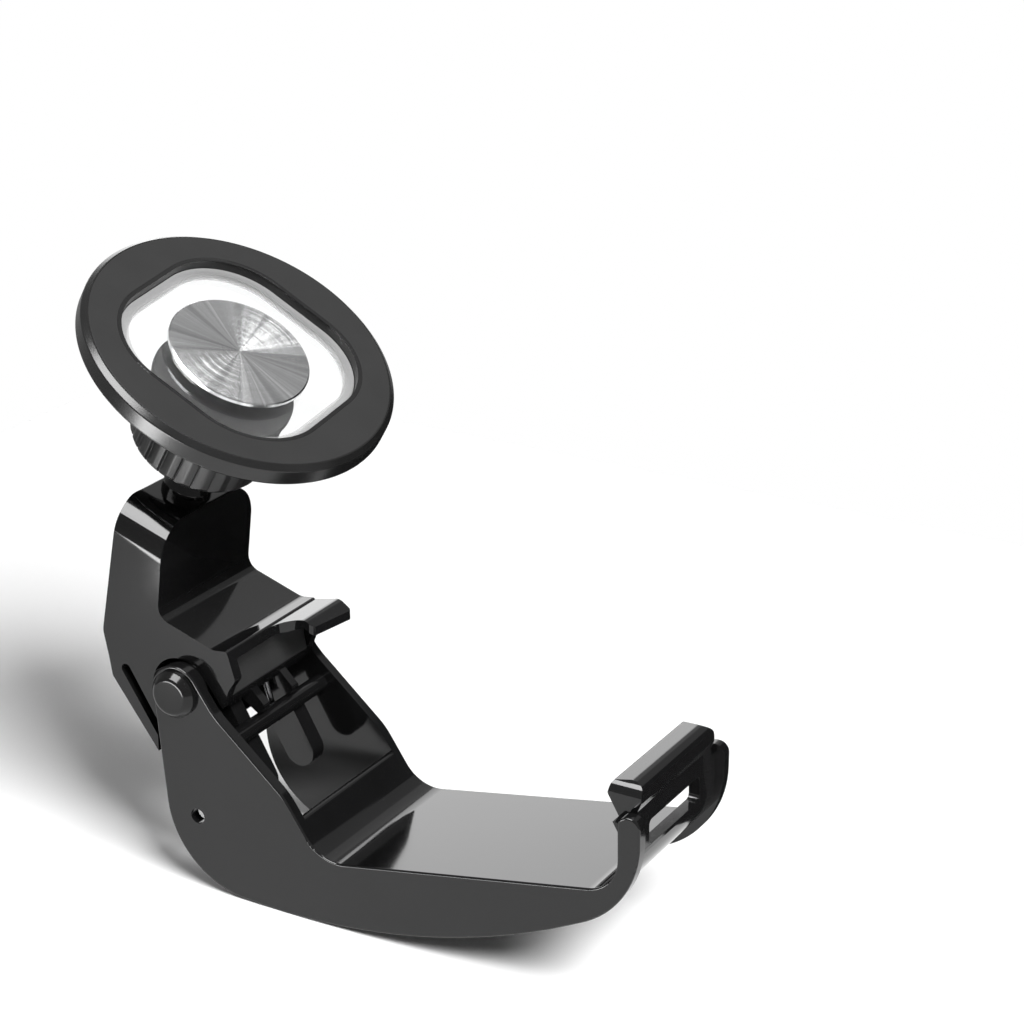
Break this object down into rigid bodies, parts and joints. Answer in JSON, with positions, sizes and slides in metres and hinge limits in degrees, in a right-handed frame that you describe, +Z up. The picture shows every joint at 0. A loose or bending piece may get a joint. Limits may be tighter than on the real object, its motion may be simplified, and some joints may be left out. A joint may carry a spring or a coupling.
{
  "type": "controller phone clip",
  "caption": "Spring clip that grips a game controller and holds a phone above it on a magnetic ring with a ball joint.",
  "frame": {"origin": "point on the controller seat's surface, on the clip's middle plane, between the sprung jaw and the front hook", "axes": "+X from the pivot towards the front hook, +Y across the clip, +Z up from the seat towards the phone ring"},
  "size_m": [0.1167, 0.0592, 0.1176],
  "materials": {
    "gloss_black_plastic": "polished moulded black plastic",
    "matte_black_plastic": "satin moulded black plastic",
    "black_steel": "glossy black coated steel",
    "spring_steel": "drawn spring wire",
    "black_rubber": "soft matte rubber",
    "brass": "turned brass",
    "clear_plastic": "polished clear plastic",
    "spun_aluminium": "concentric turned face",
    "steel": "plated sheet steel",
    "magnet_nickel": "nickel plated magnet"
  },
  "bodies": {
    "base": {"cradle": "gloss_black_plastic", "pivot_pin": "black_steel", "pin_cap": "black_steel", "spring_bush": "matte_black_plastic", "closing_spring": "spring_steel"},
    "jaw": {"arm": "gloss_black_plastic", "jaw_pad": "black_rubber", "brass_insert": "brass", "stud_washer": "black_steel"},
    "stud": {"ball_stud": "black_steel"},
    "liner": {"ball_liner": "matte_black_plastic"},
    "head": {"socket": "matte_black_plastic", "clear_plate": "clear_plastic", "socket_screw": "black_steel", "metal_disc": "spun_aluminium", "ring_housing": "gloss_black_plastic", "ring_cover": "matte_black_plastic", "yoke_ring": "steel", "magnets": "magnet_nickel", "ring_pad": "black_rubber"},
    "nut": {"lock_nut": "matte_black_plastic"}
  },
  "joints": [
    {"name": "jaw_pivot", "type": "hinge", "parent": "base", "child": "jaw", "pos_m": [-0.06, 0, 0.0214], "axis": [0, -1, 0], "range_deg": [0, 28], "stiffness_Nm_per_rad": 0.5, "springref_deg": -34.38, "deforming": ["closing_spring"]},
    {"name": "stud_swivel", "type": "hinge", "parent": "jaw", "child": "stud", "pos_m": [-0.06335, 0, 0.06815], "axis": [0.342, 0, 0.9397], "continuous": true},
    {"name": "ball_tilt", "type": "hinge", "parent": "stud", "child": "liner", "pos_m": [-0.06335, 0, 0.06815], "axis": [0.4109, 0.8993, -0.1495], "range_deg": [-40, 15]},
    {"name": "head_roll", "type": "hinge", "parent": "liner", "child": "head", "pos_m": [-0.06335, 0, 0.06815], "axis": [0.5128, -0.0924, 0.8535], "continuous": true},
    {"name": "nut_turn", "type": "hinge", "parent": "head", "child": "nut", "pos_m": [-0.06335, 0, 0.06815], "axis": [0.5128, -0.0924, 0.8535], "range_deg": [-360, 0]}
  ]
}
